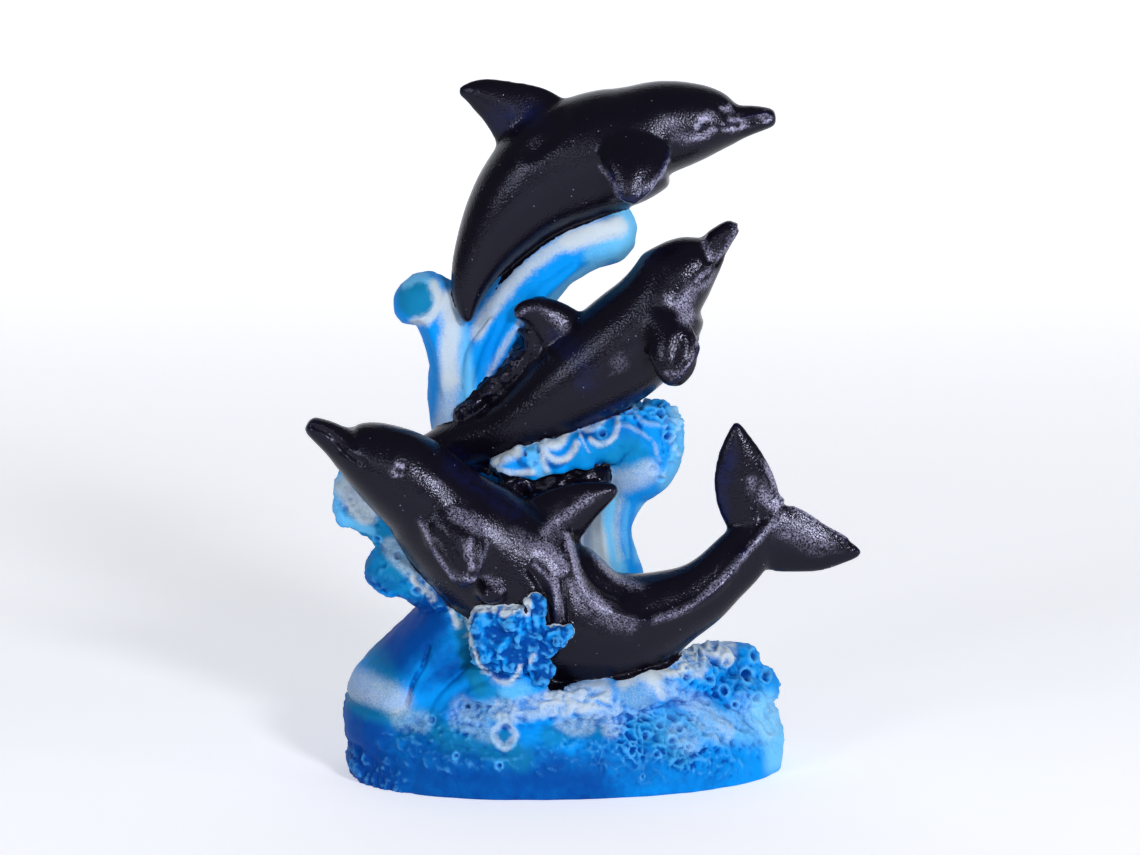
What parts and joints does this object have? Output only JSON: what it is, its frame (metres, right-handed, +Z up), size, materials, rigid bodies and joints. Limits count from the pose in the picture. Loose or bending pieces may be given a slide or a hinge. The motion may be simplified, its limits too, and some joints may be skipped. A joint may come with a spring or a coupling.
{
  "type": "dolphin figurine",
  "caption": "Cast resin figurine of a pod of dolphins leaping over curling, foaming waves on a flat oval base, made to stand on a shelf.",
  "frame": {"origin": "centre of the flat underside of the oval base", "axes": "+X to the right of the front view, -Y out of the front view towards the viewer, +Z up"},
  "size_m": [0.0978, 0.0526, 0.1245],
  "materials": {
    "painted_resin": "hand-painted polyester resin: gloss black-navy dolphins, satin airbrushed blue and white water"
  },
  "bodies": {
    "root": {"dolphin_figurine": "painted_resin"}
  },
  "joints": []
}
